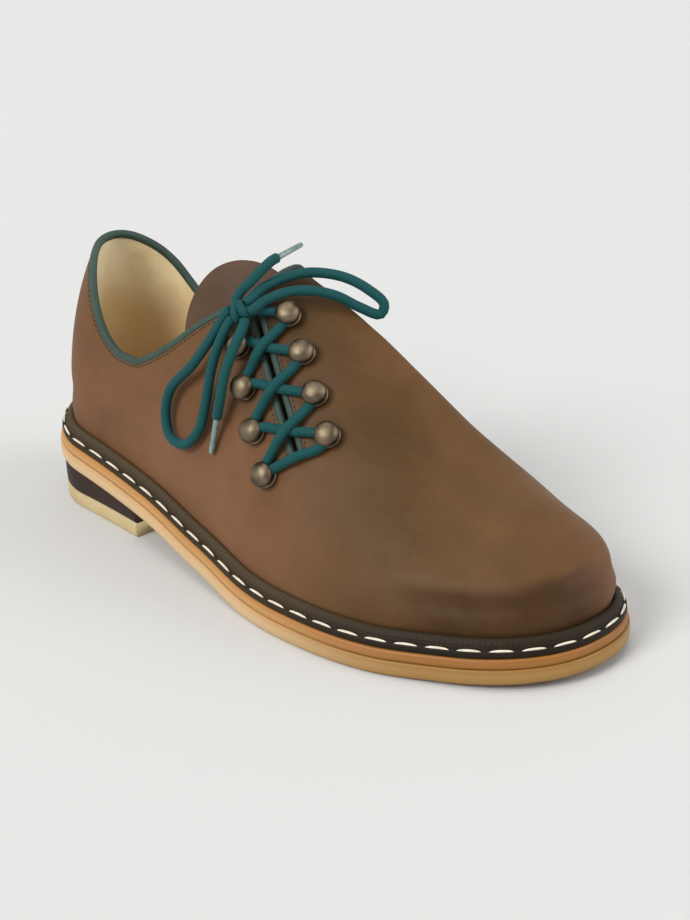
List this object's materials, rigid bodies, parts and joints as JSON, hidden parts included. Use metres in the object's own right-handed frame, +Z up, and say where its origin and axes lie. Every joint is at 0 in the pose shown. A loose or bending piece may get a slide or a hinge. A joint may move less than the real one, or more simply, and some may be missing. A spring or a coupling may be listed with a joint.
{
  "type": "haferl shoe",
  "caption": "Right lace-up leather shoe with a slanted slit and ball eyelets on its outer side, bound edges, a stitched welt and a stacked heel.",
  "frame": {"origin": "on the ground, under the middle of the heel", "axes": "+X from heel to toe, +Y towards the inner side of the foot, +Z up"},
  "size_m": [0.3, 0.1204, 0.1366],
  "materials": {
    "rubber": "satin",
    "midsole": "stained edge",
    "welt": "waxed",
    "heel": "matt",
    "lift": "matt",
    "insole": "natural",
    "upper": "oiled",
    "tongue": "oiled",
    "binding": "matt",
    "brass": "antique",
    "lace": "braided",
    "tip": "clear grey"
  },
  "bodies": {
    "root": {"outsole": "rubber", "midsole": "midsole", "heel_wedge": "heel", "heel_lift": "lift", "welt": "welt", "upper": "upper", "insole": "insole", "collar_binding": "binding", "slit_binding": "binding", "tongue": "tongue", "eyelet_front_1": "brass", "eyelet_rear_1": "brass", "eyelet_front_2": "brass", "eyelet_rear_2": "brass", "eyelet_front_3": "brass", "eyelet_rear_3": "brass", "eyelet_front_4": "brass", "eyelet_rear_4": "brass", "lace_bar": "lace", "lace_cross_1": "lace", "lace_cross_2": "lace", "lace_cross_3": "lace", "lace_top": "lace", "lace_knot": "lace", "lace_loop_left": "lace", "lace_loop_right": "lace", "lace_end_down": "lace", "lace_end_up": "lace", "lace_tip_down": "tip", "lace_tip_up": "tip"}
  },
  "joints": []
}
